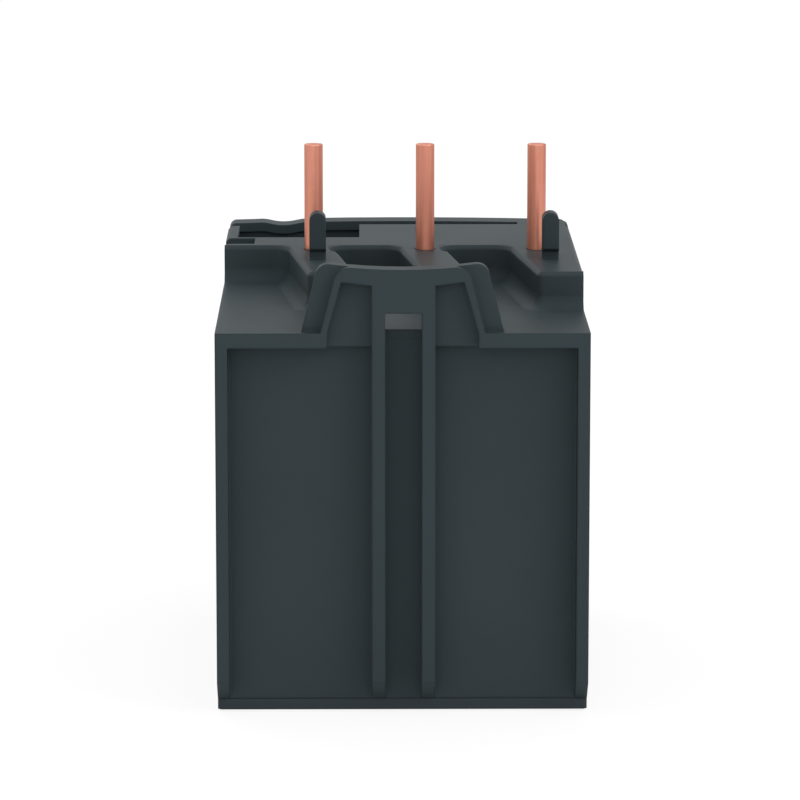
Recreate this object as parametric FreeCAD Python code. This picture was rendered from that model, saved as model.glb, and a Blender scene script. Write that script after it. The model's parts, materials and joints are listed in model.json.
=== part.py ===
import FreeCAD, Part
import math
import os

Vec = FreeCAD.Vector
ACROSS = Vec(1, 0, 0)
REARWARD = Vec(0, 1, 0)
UP = Vec(0, 0, 1)

# Frame: millimetres, origin at the bottom centre, Z up, the front faces -Y and the contactor side +Y

# Overall sizes
width = 45.0
depth = 70.0
deck_height = 51.5
wall = 1.5

# Clearances between moving or seated pieces
gap = 0.3
fit = 0.05
touch = 0.1
seam = 0.2

# Base plate
base_thickness = 1.4
cover_bevel = 0.4
parting_groove = 0.15

# Rear frame
frame_depth = 3.0
border = 1.5
top_border = 1.8
foot_rise = 2.6
rib_width = 1.6
rib_half_gap = 2.2
rib_middle = -0.1
frame_root = 0.5

# Raised hump on the rear edge, in two layers
hump_rise = 8.1
hump_layer = 1.2
hump_slope = 0.25
hump_root = 1.0
hump_front_half = 10.1
hump_front_round = 2.0
hump_front_dip = 0.45
hump_back_half = 12.4
hump_back_round = 1.5
hump_back_dip = 0.7
hump_back_step = 0.25
hump_pocket = 1.5
hump_band = 1.9
pocket_half = 9.1
pocket_slope = 0.28
window_side_height = 1.75
window_crown = 0.4

# Deck, shelf and pin blocks
shelf_drop = 4.6
deck_depth = 19.8
block_length = 23.1
block_outer = 3.5
block_outer_rear = 0.55
block_inner = 1.95
block_inner_rear = 4.6
ledge_start = 5.2
ledge_step = 0.75
ledge_rear = 5.45
pocket_round = 1.2
block_round = 0.8
deck_bevel = 0.45
cove = 1.0
cutout_width = 15.8
cutout_depth = 12.2
cutout_wall_end = 1.4
corner_tab = 6.7
notch_width = 3.8
notch_inset = 0.9
notch_length = 5.0
notch_depth = 0.7

# Hook posts, placed from their line pins
hook_offsets = (-0.57, -1.47)
hook_from_pin = 9.7
hook_width = 2.05
hook_length = 3.5
hook_rise = 5.8
hook_nose_rise = 1.35
hook_undercut = 0.8
hook_top_round = 0.7
hook_top_bevel = 0.35

# Line pins
pin_count = 3
pole_margin = 1.2
pole_shift = -3.2
pin_inset = 3.0
pin_radius = 1.15
pin_shank_half = 0.8
pin_hole_clearance = 0.15
pin_rise = 13.5
pin_root = 13.9
pin_tip_bevel = 0.25

# Front panel and its frame
lens_thickness = 1.2
lens_seat = 0.4
lens_margin = 2.5
lens_foot = 0.5
lens_head = 1.3
hinge_radius = 0.9
hinge_pin_radius = 0.6
hinge_reach = 0.9
bezel_depth = 3.8
bezel_top_wall = 1.2
bezel_crown = 0.3
bezel_side = 1.3
bezel_round = 0.9
dip_inset = 7.2
dip_width = 5.5
dip_depth = 0.4
panel_recess = 3.2
panel_thickness = 1.5
panel_drop = 2.8
skirt_front = 0.7
panel_top_depth = 3.1

# Terminal block
aux_step = 1.4
aux_depth = 15.0
aux_height = 12.0
aux_round = 0.8
power_step = 10.0
block_ceiling = 1.7
block_back_wall = 1.3
latch_width = 4.0
latch_length = 1.8
latch_lip = 1.0
head_inset = 1.2

# Power terminals
power_screw_z = 8.5
power_screw_radius = 2.0
power_head_radius = 3.2
power_head_height = 2.2
power_well_radius = 3.6
shoulder_thickness = 1.2
cage_travel = 4.2
cage_half_width = 3.7
cage_wall = 1.0
cage_front_wall = 1.8
cage_half_height = 3.5
cage_bevel = 0.6
wire_way = 5.2
bar_thickness = 1.2
bar_half_width = 2.4
bar_clearance = 1.6
bar_from_bimetal = 4.8

# Auxiliary terminals
aux_count = 4
aux_margin = 0.9
aux_screw_radius = 1.5
aux_head_radius = 2.7
aux_head_height = 1.8
aux_washer = 0.8
aux_washer_half = 2.6
aux_travel = 2.8
aux_wire = 3.2
aux_wire_half = 1.9
aux_fascia = 1.0
aux_plate = 0.8
aux_plate_half = 2.6
aux_tail_half = 1.5
aux_tail_rise = 1.2
aux_shank = 5.4
slot_share = 0.15

# Phase heaters
strap_thickness = 1.2
strap_height = 4.0
strap_drop = 13.5
strap_foot_drop = 1.7
bimetal_width = 5.0
bimetal_thickness = 0.9
winding_turns = 6
winding_clear = 5.0
winding_rise = 0.5
winding_wire = 0.7
winding_ribbon = 1.1
sleeve_thickness = 0.35

# Sliders and differential lever
slider_travel = 1.6
slider_level = 10.0
slider_height = 2.5
slider_width = 1.6
slider_tail = 2.75
slider_head = 3.35
phase_slider_inset = 4.4
slider_spacing = 2.6
finger_thickness = 1.2
finger_reach = 7.0
finger_span = 5.0
phase_finger_rise = 0.3
lever_offset = 1.65
lever_arm = 4.0
lever_half = 0.9
lever_nose = 2.35
lever_tail = 1.5
lever_thickness = 1.2
lever_pin = 0.6
lever_play = 0.35

# Compensating lever, trip rocker and its flag
compensator_offset = 3.3
compensator_short_arm = 6.0
compensator_thickness = 0.8
compensator_rise = 0.4
compensator_height = 2.2
rocker_offset = 1.2
rocker_from_carriage = 7.5
rocker_input_arm = 4.8
rocker_output_arm = 8.4
pivot_radius = 1.0
hub_radius = 1.9
arm_height = 2.0
arm_half = 0.7
flag_gap = 0.7
flag_thickness = 0.6
flag_width = 3.0
flag_height = 3.0
flag_offset = 2.6
flag_window_half = 1.4
flag_arm_rise = 2.0
flag_arm_thickness = 1.2

# Adjusting slide
adjust_clear = 1.9
adjust_thickness = 1.2
adjust_travel = 0.8
slide_half = 2.4
slide_bevel = 0.8
slide_post_offsets = (19.6, 6.6)
slide_post_half = 1.5
slide_pin_half = 0.8
slide_inset = 1.5

# Contact carriage and bridges
carriage_travel = 1.12
carriage_inset = 4.7
carriage_thickness = 1.5
carriage_rise = 2.8
contact_gap_open = 1.2
contact_rise = 1.8
contact_half = 0.9
contact_button = 0.5
bridge_thickness = 0.6
bridge_height = 2.2
tongue_half = 1.4
tongue_reach = 2.2
lug_width = 2.0
pad_half = 1.2
output_rise = 1.4
input_rise = 2.5

# Snap tongues of the panel
tongue_inset = 2.1
tongue_rise = 1.1
tongue_half_height = 2.0
latch_inset = 5.5

# Operators behind the cover
dial_inset = 10.5
dial_share = 0.8
dial_shaft_radius = 2.0
dial_turn = 270.0
dial_grips = 18
dial_grip_depth = 0.35
dial_slot_depth = 1.1
cam_radius = 3.2
cam_thickness = 1.6
cam_spans = 3
stop_inset = 9.3
test_offset = 8.6
push_share = 0.39
test_share = 0.3
push_travel = 1.3
push_inset = 0.1
push_cap = 1.3
push_bevel = 0.4
plunger_half = 1.1
plunger_length = 9.0
barb_lip = 0.6
selector_radius = 2.6
selector_shaft_radius = 1.4
spring_wire = 0.4
spring_turns = 3
spring_sides = 8

# Places across the width, from the module width and the pole pitch
half = width / 2
side = half - wall
inner_side = side - seam
pole_pitch = (width - 2 * pole_margin) / pin_count
pin_xs = [pole_pitch * (1 - n) + pole_shift for n in range(pin_count)]
terminal_xs = [pole_pitch * (1 - n) for n in range(pin_count)]
aux_pitch = (width - 2 * aux_margin) / aux_count
aux_xs = [aux_pitch * (1.5 - n) for n in range(aux_count)]
hook_xs = (pin_xs[0] + hook_offsets[0], pin_xs[-1] + hook_offsets[1])
cutout_x = side - cutout_width
strap_offset = pin_shank_half + strap_thickness / 2
bimetal_xs = [x + strap_offset for x in pin_xs]
lever_x = bimetal_xs[0] + lever_offset
compensator_x = lever_x + compensator_offset
rocker_x = compensator_x - rocker_offset
flag_x = rocker_x - flag_offset
slide_post_xs = [compensator_x - offset for offset in slide_post_offsets]
dial_x = dial_inset - half
stop_x = half - stop_inset
test_x = stop_x - test_offset
dip_x = half - dip_inset
lens_half = half - lens_margin
pole_names = ("a", "b", "c")
aux_names = ("a", "b", "c", "d")

# Places along the depth, counted back from the front face
front_y = -depth / 2
bezel_front_y = front_y + lens_thickness + lens_seat
bezel_rear_y = bezel_front_y + bezel_depth
hinge_y = front_y + hinge_radius
push_front_y = bezel_front_y + push_inset
panel_face_y = bezel_front_y + panel_recess
panel_rear_y = panel_face_y + panel_thickness
aux_front_y = bezel_front_y + aux_step
aux_rear_y = aux_front_y + aux_depth
power_front_y = aux_front_y + power_step
deck_front_y = bezel_rear_y + panel_top_depth
pocket_y = deck_front_y + deck_depth
block_rear_y = pocket_y + block_length
pin_y = pocket_y + pin_inset
hook_nose_y = pin_y + hook_from_pin
cutout_rear_y = deck_front_y + cutout_depth
notch_y = cutout_rear_y + notch_inset
tongue_y = deck_front_y + tongue_inset

power_head_y = power_front_y + head_inset
shoulder_y = power_head_y + power_head_height + gap
cage_closed_y = shoulder_y + shoulder_thickness + gap
cage_front_y = cage_closed_y + cage_travel
bar_front_y = cage_front_y + cage_front_wall + gap
bar_rear_y = bar_front_y + bar_thickness
wire_rear_y = bar_rear_y + wire_way
cage_rear_y = wire_rear_y + cage_wall
power_rear_y = cage_rear_y + gap + block_back_wall
latch_y = power_rear_y - latch_inset

aux_head_y = aux_front_y + head_inset
aux_washer_y = aux_head_y + aux_head_height
aux_plate_y = aux_washer_y + aux_washer + aux_wire
slide_post_y = aux_rear_y - slide_inset
carriage_y = aux_rear_y + carriage_inset
carriage_rear_y = carriage_y + carriage_thickness
nc_contact_y = carriage_rear_y + bridge_thickness + contact_button + touch
no_contact_y = carriage_y - bridge_thickness - contact_button - contact_gap_open
rocker_y = carriage_y + rocker_from_carriage
rocker_pad_y = rocker_y + rocker_input_arm
compensator_y = rocker_pad_y + compensator_short_arm
flag_y = panel_rear_y + flag_gap
rocker_flag_arm = rocker_y - flag_y

# Places along the depth, counted forward from the rear face
rear_y = depth / 2
recess_y = rear_y - frame_depth
phase_slider_y = recess_y - phase_slider_inset
overload_slider_y = phase_slider_y - slider_spacing
lever_nose_y = overload_slider_y - lever_arm
compensator_arm = lever_nose_y - compensator_y
bimetal_y = overload_slider_y - finger_span
bar_end_y = bimetal_y - bar_from_bimetal

# Heights counted up from the base
cage_bottom = power_screw_z - cage_half_height
cage_top = power_screw_z + cage_half_height
cage_inner_half = cage_half_width - cage_wall
bar_level = cage_top + bar_clearance
bar_top = bar_level + bar_thickness
power_top = bar_top + block_ceiling
aux_bottom = power_top + 0.5
aux_top = aux_bottom + aux_height
aux_screw_z = (aux_bottom + aux_top) / 2 - 0.5
aux_plate_top = aux_screw_z + aux_plate_half + gap
aux_tail_level = aux_bottom + aux_tail_rise
carriage_level = power_top + carriage_rise
contact_level = carriage_level + contact_rise
output_level = contact_level + output_rise
input_level = output_level + input_rise
flag_arm_level = aux_top + flag_arm_rise
flag_top = flag_arm_level + flag_height
adjust_level = flag_arm_level + arm_height + adjust_clear
adjust_top = adjust_level + adjust_thickness
tongue_z = adjust_level + tongue_rise
panel_bottom = aux_top + seam
hinge_z = panel_bottom + hinge_radius
lens_bottom = hinge_z + lens_foot
bimetal_tip = slider_level - 1
phase_level = slider_level + slider_height + phase_finger_rise
phase_top = phase_level + slider_width
lever_level = phase_top + gap
compensator_level = lever_level + compensator_rise
winding_bottom = power_top + winding_rise

# Heights counted down from the deck
shelf_height = deck_height - shelf_drop
hump_top = shelf_height + hump_rise
strap_level = deck_height - strap_drop
strap_foot = strap_level - strap_foot_drop
bimetal_root = strap_foot - gap
winding_top = bimetal_root - winding_clear
winding_pitch = (winding_top - winding_wire - winding_bottom) / (winding_turns - 1)
lens_top = deck_height - lens_head

# Rows of push buttons between the flag window and the panel's top wall
row_pitch = (deck_height - panel_drop - gap - flag_top) / 2
low_row_z = flag_top + row_pitch / 2
high_row_z = low_row_z + row_pitch
dial_z = flag_top + row_pitch
dial_radius = row_pitch * dial_share
push_radius = row_pitch * push_share
test_radius = row_pitch * test_share
sleeve_half = bimetal_thickness / 2 + sleeve_thickness


def box(xs, ys, zs):
    return Part.makeBox(xs[1] - xs[0], ys[1] - ys[0], zs[1] - zs[0], Vec(xs[0], ys[0], zs[0]))


def around(middle, reach):
    return (middle - reach, middle + reach)


def onward(start, length):
    return (start, start + length)


def sided(sign, near, far):
    return tuple(sorted((sign * near, sign * far)))


def rod_x(radius, y, z, xs):
    return Part.makeCylinder(radius, xs[1] - xs[0], Vec(xs[0], y, z), ACROSS)


def rod_y(radius, x, z, ys):
    return Part.makeCylinder(radius, ys[1] - ys[0], Vec(x, ys[0], z), REARWARD)


def rod_z(radius, x, y, zs):
    return Part.makeCylinder(radius, zs[1] - zs[0], Vec(x, y, zs[0]), UP)


def polygon(points):
    return Part.Face(Part.makePolygon(list(points) + [points[0]]))


def prism_x(points, xs):
    return polygon([Vec(xs[0], y, z) for y, z in points]).extrude(Vec(xs[1] - xs[0], 0, 0))


def prism_y(points, ys):
    return polygon([Vec(x, ys[0], z) for x, z in points]).extrude(Vec(0, ys[1] - ys[0], 0))


def prism_z(points, zs):
    return polygon([Vec(x, y, zs[0]) for x, y in points]).extrude(Vec(0, 0, zs[1] - zs[0]))


def join(shapes):
    whole = shapes[0].fuse(shapes[1:])
    return whole.removeSplitter().Solids[0]


# Straight edges along one axis, all of them or those whose middle passes the test
def along(shape, axis, at=None):
    found = []
    for edge in shape.Edges:
        first = edge.Vertexes[0].Point
        last = edge.Vertexes[-1].Point
        line = last - first
        if line.Length < 1e-4 or abs(abs(line.dot(axis)) - line.Length) > 1e-4:
            continue
        if at is None or at((first + last) * 0.5):
            found.append(edge)
    return found


# Edges that lie at one height
def level_edges(shape, z, at=None):
    found = []
    for edge in shape.Edges:
        reach = edge.BoundBox
        if abs(reach.ZMin - z) > 1e-4 or abs(reach.ZMax - z) > 1e-4:
            continue
        if at is None or at(edge.CenterOfMass):
            found.append(edge)
    return found


# Plan of the deck with its pin blocks, walked from the +X front corner
def deck_plan():
    points = [(half, deck_front_y), (half, pocket_y)]
    for x in pin_xs[:-1]:
        points += [
            (x + block_outer, pocket_y),
            (x + block_outer_rear, block_rear_y),
            (x - block_inner_rear, block_rear_y),
            (x - block_inner, pocket_y),
        ]
    last = pin_xs[-1]
    points += [
        (last + block_outer, pocket_y),
        (last + block_outer_rear, block_rear_y),
        (-half, block_rear_y),
        (-half, deck_front_y),
    ]
    return points


# Deck block above the shelf, rounded in plan and bevelled along its top edge
def deck_block():
    block = prism_z(deck_plan(), (shelf_height - wall, deck_height))

    def pocket_corner(point):
        return abs(point.x) < half - 0.01 and abs(point.y - pocket_y) < 0.01

    def block_corner(point):
        return abs(point.x) < half - 0.01 and abs(point.y - block_rear_y) < 0.01

    def behind_front(point):
        return point.y > deck_front_y + 0.01

    block = block.makeFillet(pocket_round, along(block, UP, pocket_corner))
    block = block.makeFillet(block_round, along(block, UP, block_corner))
    return block.makeChamfer(deck_bevel, level_edges(block, deck_height, behind_front))


# Thicker stretch of a pin block's inner side, which starts with a slanting step
def block_ledge(x):
    start = pocket_y + ledge_start
    low = x - block_inner - (block_inner_rear - block_inner) * ledge_start / block_length
    inside = block_round
    plan = [
        (low + inside, start - inside),
        (low - ledge_step, start + ledge_step),
        (x - ledge_rear, block_rear_y),
        (x - block_inner_rear + inside, block_rear_y),
    ]
    ledge = prism_z(plan, (shelf_height - touch, deck_height))

    def rear_corner(point):
        return point.x < x - ledge_rear + 0.01

    def outward(point):
        return point.x < low - ledge_step / 3 or point.y > block_rear_y - block_round

    ledge = ledge.makeFillet(block_round, along(ledge, UP, rear_corner))
    return ledge.makeChamfer(deck_bevel, level_edges(ledge, deck_height, outward))


def deck_hollow():
    outline = polygon([Vec(x, y, 0) for x, y in deck_plan()])
    inner = outline.makeOffset2D(-wall, 2, False, False)
    hollow = inner.extrude(Vec(0, 0, deck_height - shelf_height + 0.2))
    hollow.translate(Vec(0, 0, shelf_height - wall - 0.2))
    mouth_zs = (shelf_height - wall, deck_height - wall)
    mouth = box((-side, side), (deck_front_y - 1, deck_front_y + 2 * wall), mouth_zs)
    return hollow.fuse(mouth)


# Upright of the rear frame, with its chamfered foot
def frame_upright(xs, top):
    root = recess_y - frame_root
    profile = [
        (root, base_thickness),
        (recess_y, base_thickness),
        (rear_y, base_thickness + foot_rise),
        (rear_y, top),
        (root, top),
    ]
    return prism_x(profile, xs)


# One hump layer: sloping flanks, rounded shoulders and a hollow top edge
def hump_sheet(foot, top, dip, shoulder_round, ys):
    foot_z = shelf_height - hump_root
    shoulder = foot - hump_slope * (top - foot_z)
    left = Vec(-shoulder, ys[0], top)
    right = Vec(shoulder, ys[0], top)
    low_left = Vec(-foot, ys[0], foot_z)
    low_right = Vec(foot, ys[0], foot_z)
    crest = Part.Arc(left, Vec(0, ys[0], top - dip), right).toShape()
    edges = [
        Part.makeLine(low_left, left),
        crest,
        Part.makeLine(right, low_right),
        Part.makeLine(low_right, low_left),
    ]
    sheet = Part.Face(Part.Wire(edges)).extrude(Vec(0, ys[1] - ys[0], 0))

    def shoulder_edge(point):
        return point.z > foot_z + 0.1

    return sheet.makeFillet(shoulder_round, along(sheet, REARWARD, shoulder_edge))


def hump():
    split = rear_y - hump_layer
    front = hump_sheet(hump_front_half, hump_top, hump_front_dip, hump_front_round, (split - touch, rear_y))
    back_top = hump_top + hump_back_step
    back = hump_sheet(hump_back_half, back_top, hump_back_dip, hump_back_round, (recess_y, split))
    return front.fuse(back)


# Shallow pocket beside a rib, open towards the recess below
def hump_pocket_cut(sign):
    near = sign * (rib_half_gap + rib_width) + rib_middle
    low = shelf_height - top_border
    high = hump_top - hump_band
    outline = [
        (near, low - touch),
        (sign * pocket_half, low - touch),
        (sign * pocket_half, shelf_height),
        (sign * (pocket_half - pocket_slope * (high - shelf_height)), high),
        (near, high - hump_front_dip),
    ]
    return prism_y(outline, (rear_y - hump_pocket, rear_y + 1))


# Window between the ribs, from the shelf up to a shallow arch
def hump_window():
    x0, x1 = around(rib_middle, rib_half_gap)
    high = shelf_height + window_side_height
    y = recess_y - 1
    arch = Part.Arc(Vec(x0, y, high), Vec(rib_middle, y, high + window_crown), Vec(x1, y, high)).toShape()
    edges = [
        arch,
        Part.makeLine(Vec(x1, y, high), Vec(x1, y, shelf_height)),
        Part.makeLine(Vec(x1, y, shelf_height), Vec(x0, y, shelf_height)),
        Part.makeLine(Vec(x0, y, shelf_height), Vec(x0, y, high)),
    ]
    return Part.Face(Part.Wire(edges)).extrude(Vec(0, frame_depth + 2, 0))


# Hook post with a nose over its rear undercut
def hook_post(x):
    nose = hook_nose_y
    front = nose - hook_length
    root = deck_height - wall
    top = deck_height + hook_rise
    nose_z = deck_height + hook_nose_rise
    profile = [
        (front, root),
        (nose - hook_undercut, root),
        (nose - hook_undercut, nose_z - hook_undercut / 2),
        (nose, nose_z),
        (nose, top - hook_top_bevel),
        (nose - hook_top_bevel, top),
        (front + hook_undercut, top),
        (front, top - hook_undercut),
    ]
    post = prism_x(profile, around(x, hook_width / 2))

    def top_sides(point):
        return point.z > top - 0.01

    return post.makeFillet(hook_top_round, along(post, REARWARD, top_sides))


# Moulded rear housing
def rear_housing():
    top = shelf_height
    rib_top = hump_top - hump_band
    body = box((-half, half), (deck_front_y, recess_y), (base_thickness, top))
    body = body.cut(box((-half - 1, half + 1), (deck_front_y - 1, power_front_y), (0, aux_bottom)))
    uprights = [
        frame_upright(sided(-1, half - border, half), top),
        frame_upright(sided(1, half - border, half), top),
        frame_upright(around(rib_middle - rib_half_gap - rib_width / 2, rib_width / 2), rib_top),
        frame_upright(around(rib_middle + rib_half_gap + rib_width / 2, rib_width / 2), rib_top),
    ]
    bar = box((-half, half), (recess_y - frame_root, rear_y), (top - top_border, top))
    channel = box(around(rib_middle, rib_half_gap), (recess_y, rear_y + 1), (0, top))
    face = join([bar.cut(channel), hump()])
    for sign in (1, -1):
        face = face.cut(hump_pocket_cut(sign))
    body = join([body, face, deck_block()] + uprights)

    def on_shelf(point):
        return abs(point.x) < half - 0.01 and pocket_y - 1 < point.y < block_rear_y + 1

    body = body.makeChamfer(cove, level_edges(body, shelf_height, on_shelf))
    body = join([body] + [block_ledge(x) for x in pin_xs[:-1]])
    body = body.cut(hump_window())
    body = body.cut(box((-side, side), (deck_front_y - 1, recess_y - wall), (0, shelf_height - wall)))
    body = body.cut(deck_hollow())
    below_deck = deck_height - wall - 0.5
    above_deck = deck_height + 1
    body = body.cut(box((cutout_x, side), (deck_front_y - 1, cutout_rear_y), (below_deck, above_deck)))
    wall_end = deck_front_y + cutout_wall_end
    body = body.cut(box((cutout_x, half + 1), (deck_front_y - 1, wall_end), (below_deck, above_deck)))
    notch_xs = (half - notch_width, half + 1)
    notch_zs = (deck_height - notch_depth, above_deck)
    body = body.cut(box(notch_xs, onward(notch_y, notch_length), notch_zs))
    body = join([body, corner_piece()] + [hook_post(x) for x in hook_xs])
    for x in pin_xs:
        hole = rod_z(pin_radius + pin_hole_clearance, x, pin_y, (shelf_height - 2 * wall, above_deck))
        body = body.cut(hole)
    for sign in (1, -1):
        body = body.cut(latch_window(sign, tongue_y, tongue_z))
        body = body.cut(latch_window(sign, latch_y, power_screw_z))
    under_slide = (adjust_level - gap - wall, adjust_level - gap)
    rest = box((compensator_x + hub_radius, side + 0.5), (aux_rear_y - 2, aux_rear_y + 4), under_slide)
    return join([body, rest])


# Corner of the deck beside the panel's top wall
def corner_piece():
    xs = (-half, corner_tab - half)
    corner = box(xs, (bezel_rear_y + touch, deck_front_y), (deck_height - wall, deck_height))

    def outer_edge(point):
        return point.x < 0.01 - half and point.z > deck_height - 0.01

    return corner.makeFillet(deck_bevel, along(corner, REARWARD, outer_edge))


def latch_window(sign, y, z):
    ys = (y - gap, y + latch_length + 2 * gap)
    return box(sided(sign, side - 0.5, half + 0.5), ys, around(z, latch_width / 2 + gap))


# Base plate with a wire way under each power terminal
def bottom_cover():
    plate = box((-half, half), (power_front_y + seam, recess_y), (0, base_thickness))
    plate = plate.makeChamfer(cover_bevel, along(plate, UP))
    plate = plate.makeChamfer(parting_groove, level_edges(plate, base_thickness))
    for x in terminal_xs:
        plate = plate.cut(wire_shaft(x, (-1, base_thickness + 1)))
    return plate


def wire_shaft(x, zs):
    return box(around(x, wire_way / 2), (bar_rear_y, wire_rear_y), zs)


# Line pin: a round copper blade above the deck on a square shank down to its strap
def line_pin(x):
    top = deck_height + pin_rise
    blade = rod_z(pin_radius, x, pin_y, (deck_height + touch, top))
    blade = blade.makeChamfer(pin_tip_bevel, level_edges(blade, top))
    reach = pin_shank_half
    shank = box(around(x, reach), around(pin_y, reach), (deck_height - pin_root, deck_height + 1))
    return join([blade, shank])


# Upright copper strip from the line pin to the root of the bimetal
def line_strap(x):
    xs = onward(x + pin_shank_half, strap_thickness)
    rear = bimetal_y + bimetal_width / 2
    run = box(xs, (pin_y - pin_radius, rear), onward(strap_level, strap_height))
    foot = box(xs, (bimetal_y - bimetal_width / 2, rear), (strap_foot, strap_level + 1))
    strap = join([run, foot])

    def rear_top(point):
        return point.y > bimetal_y and point.z > strap_level

    return strap.makeChamfer(strap_thickness, along(strap, ACROSS, rear_top))


def bimetal(x):
    xs = around(x, bimetal_thickness / 2)
    strip = box(xs, around(bimetal_y, bimetal_width / 2), (bimetal_tip, bimetal_root))

    def tip_corner(point):
        return point.z < bimetal_tip + 0.01

    return strip.makeChamfer(bimetal_thickness, along(strip, ACROSS, tip_corner))


# Insulating sleeve on the bimetal with the heater ribbon wound round it
def heater(x):
    sleeve_depth = bimetal_width / 2 + sleeve_thickness
    low = winding_bottom - 1
    high = winding_top + 1.5
    sleeve = box(around(x, sleeve_half), around(bimetal_y, sleeve_depth), (low, high))
    turn_xs = around(x, sleeve_half + winding_wire)
    turn_ys = around(bimetal_y, sleeve_depth + winding_wire)
    turns = []
    for n in range(winding_turns):
        zs = onward(winding_bottom + winding_pitch * n, winding_ribbon)
        turns.append(box(turn_xs, turn_ys, zs))
    tail_y = bimetal_y - sleeve_depth - winding_wire
    tail = box(around(x, 1), (bar_end_y + gap, tail_y + 0.5), onward(winding_bottom, winding_ribbon))
    whole = join([sleeve] + turns + [tail])
    strip = box(around(x, bimetal_thickness / 2), around(bimetal_y, bimetal_width / 2), (low - 1, high + 1))
    return whole.cut(strip)


# Bent copper bar from the winding to the power terminal
def load_bar(x):
    end_top = winding_bottom + winding_ribbon
    profile = [
        (bar_front_y, cage_bottom + gap),
        (bar_rear_y, cage_bottom + gap),
        (bar_rear_y, bar_level),
        (bar_end_y, bar_level),
        (bar_end_y, end_top),
        (bar_end_y - bar_thickness, end_top),
        (bar_end_y - bar_thickness, bar_top),
        (bar_front_y, bar_top),
    ]
    bar = prism_x(profile, around(x, bar_half_width))

    def outer_bend(point):
        front_bend = abs(point.y - bar_front_y) < 0.01 and point.z > bar_level
        rear_bend = abs(point.y - bar_end_y) < 0.01 and point.z < bar_top
        return front_bend or rear_bend

    return bar.makeFillet(bar_thickness * 0.8, along(bar, ACROSS, outer_bend))


# Box clamp that the screw draws forward round the load bar
def cage(x):
    frame = box(around(x, cage_half_width), (cage_front_y, cage_rear_y), (cage_bottom, cage_top))
    frame = frame.makeChamfer(cage_bevel, along(frame, UP))
    room = (cage_front_y + cage_front_wall, wire_rear_y)
    frame = frame.cut(box(around(x, cage_inner_half), room, (cage_bottom - 1, cage_top + 1)))
    frame = frame.cut(rod_y(power_screw_radius + fit, x, power_screw_z, (cage_front_y - 1, room[0] + 1)))
    for n in (-1, 0, 1):
        z = power_screw_z + n * cage_front_wall
        groove = [(wire_rear_y - 0.01, z - 0.4), (wire_rear_y + 0.35, z), (wire_rear_y - 0.01, z + 0.4)]
        frame = frame.cut(prism_x(groove, around(x, cage_inner_half)))
    return frame


# Screw with a slotted head to the front
def screw(x, z, head_radius, head_height, head_y, shank_radius, end_y):
    head = rod_y(head_radius, x, z, onward(head_y, head_height))
    shank = rod_y(shank_radius, x, z, (head_y + head_height - touch, end_y))
    slot_ys = (head_y - 1, head_y + head_height / 2)
    slot = box(around(x, head_radius * slot_share), slot_ys, around(z, head_radius))
    return join([head, shank]).cut(slot)


def power_screw(x):
    head = (power_head_radius, power_head_height, power_head_y)
    return screw(x, power_screw_z, *head, power_screw_radius, bar_front_y - gap)


def aux_screw(x):
    head = (aux_head_radius, aux_head_height, aux_head_y)
    return screw(x, aux_screw_z, *head, aux_screw_radius, aux_washer_y + aux_shank)


# Square washer that rides under the head of the auxiliary screw
def aux_clamp(x):
    reach = aux_washer_half
    washer = box(around(x, reach), onward(aux_washer_y, aux_washer), around(aux_screw_z, reach))
    washer = washer.makeChamfer(0.5, along(washer, REARWARD))
    return washer.cut(rod_y(aux_screw_radius + fit, x, aux_screw_z, (aux_washer_y - 1, aux_plate_y)))


# Fixed plate behind an auxiliary screw, with its tail to the contact
def aux_contact(x, contact_y, facing):
    seat_y = contact_y - facing * contact_button
    upright = onward(min(seat_y, seat_y - facing * aux_plate), aux_plate)
    tail_zs = onward(aux_tail_level, aux_plate)
    plate = box(around(x, aux_plate_half), onward(aux_plate_y, aux_plate), (aux_tail_level, aux_plate_top))
    reach = aux_screw_radius + fit
    hole = box(around(x, reach), around(aux_plate_y, 2), around(aux_screw_z, reach))
    parts = [
        plate.cut(hole),
        box(around(x, aux_tail_half), (aux_plate_y, upright[1]), tail_zs),
        box(around(x, aux_tail_half), upright, (aux_tail_level, contact_level + bridge_height / 2)),
        contact_tip(x, seat_y, contact_y),
    ]
    return join(parts)


def contact_tip(x, seat_y, end_y):
    ys = tuple(sorted((seat_y, end_y)))
    return box(around(x, contact_half), ys, around(contact_level, contact_half))


# Strip that carries one moving contact at each end
def bridge(first_x, last_x, seat_y, facing):
    face_y = seat_y + facing * bridge_thickness
    xs = (first_x - aux_tail_half, last_x + aux_tail_half)
    strip = box(xs, tuple(sorted((seat_y, face_y))), around(contact_level, bridge_height / 2))
    strip = strip.makeChamfer(0.4, along(strip, REARWARD))
    end_y = face_y + facing * contact_button
    return join([strip] + [contact_tip(x, face_y, end_y) for x in (first_x, last_x)])


# Insulating bar that carries both bridges, on a tongue between guide ribs
def contact_carriage():
    reach = aux_xs[0] + aux_tail_half
    top = contact_level + bridge_height / 2 + gap
    lug_xs = around(rocker_x - rocker_output_arm, lug_width / 2)
    lug_top = output_level + arm_height
    tongue_ys = (carriage_y - tongue_reach, carriage_rear_y + tongue_reach)
    parts = [
        box((-reach, reach), (carriage_y, carriage_rear_y), (carriage_level, top)),
        box(around(0, tongue_half), tongue_ys, (power_top + gap, carriage_level + 1)),
        box(lug_xs, (carriage_y, carriage_rear_y), (top - 1, lug_top)),
        box(lug_xs, (carriage_y, rocker_y - arm_half - gap), (output_level, lug_top)),
    ]
    whole = join(parts)

    def upper_edge(point):
        return abs(point.z - lug_top) < 0.01

    return whole.makeChamfer(0.4, along(whole, REARWARD, upper_edge))


# Arm of the trip rocker, its plan given from the pivot
def rocker_arm(plan, zs):
    return prism_z([(rocker_x + dx, rocker_y + dy) for dx, dy in plan], zs)


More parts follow.
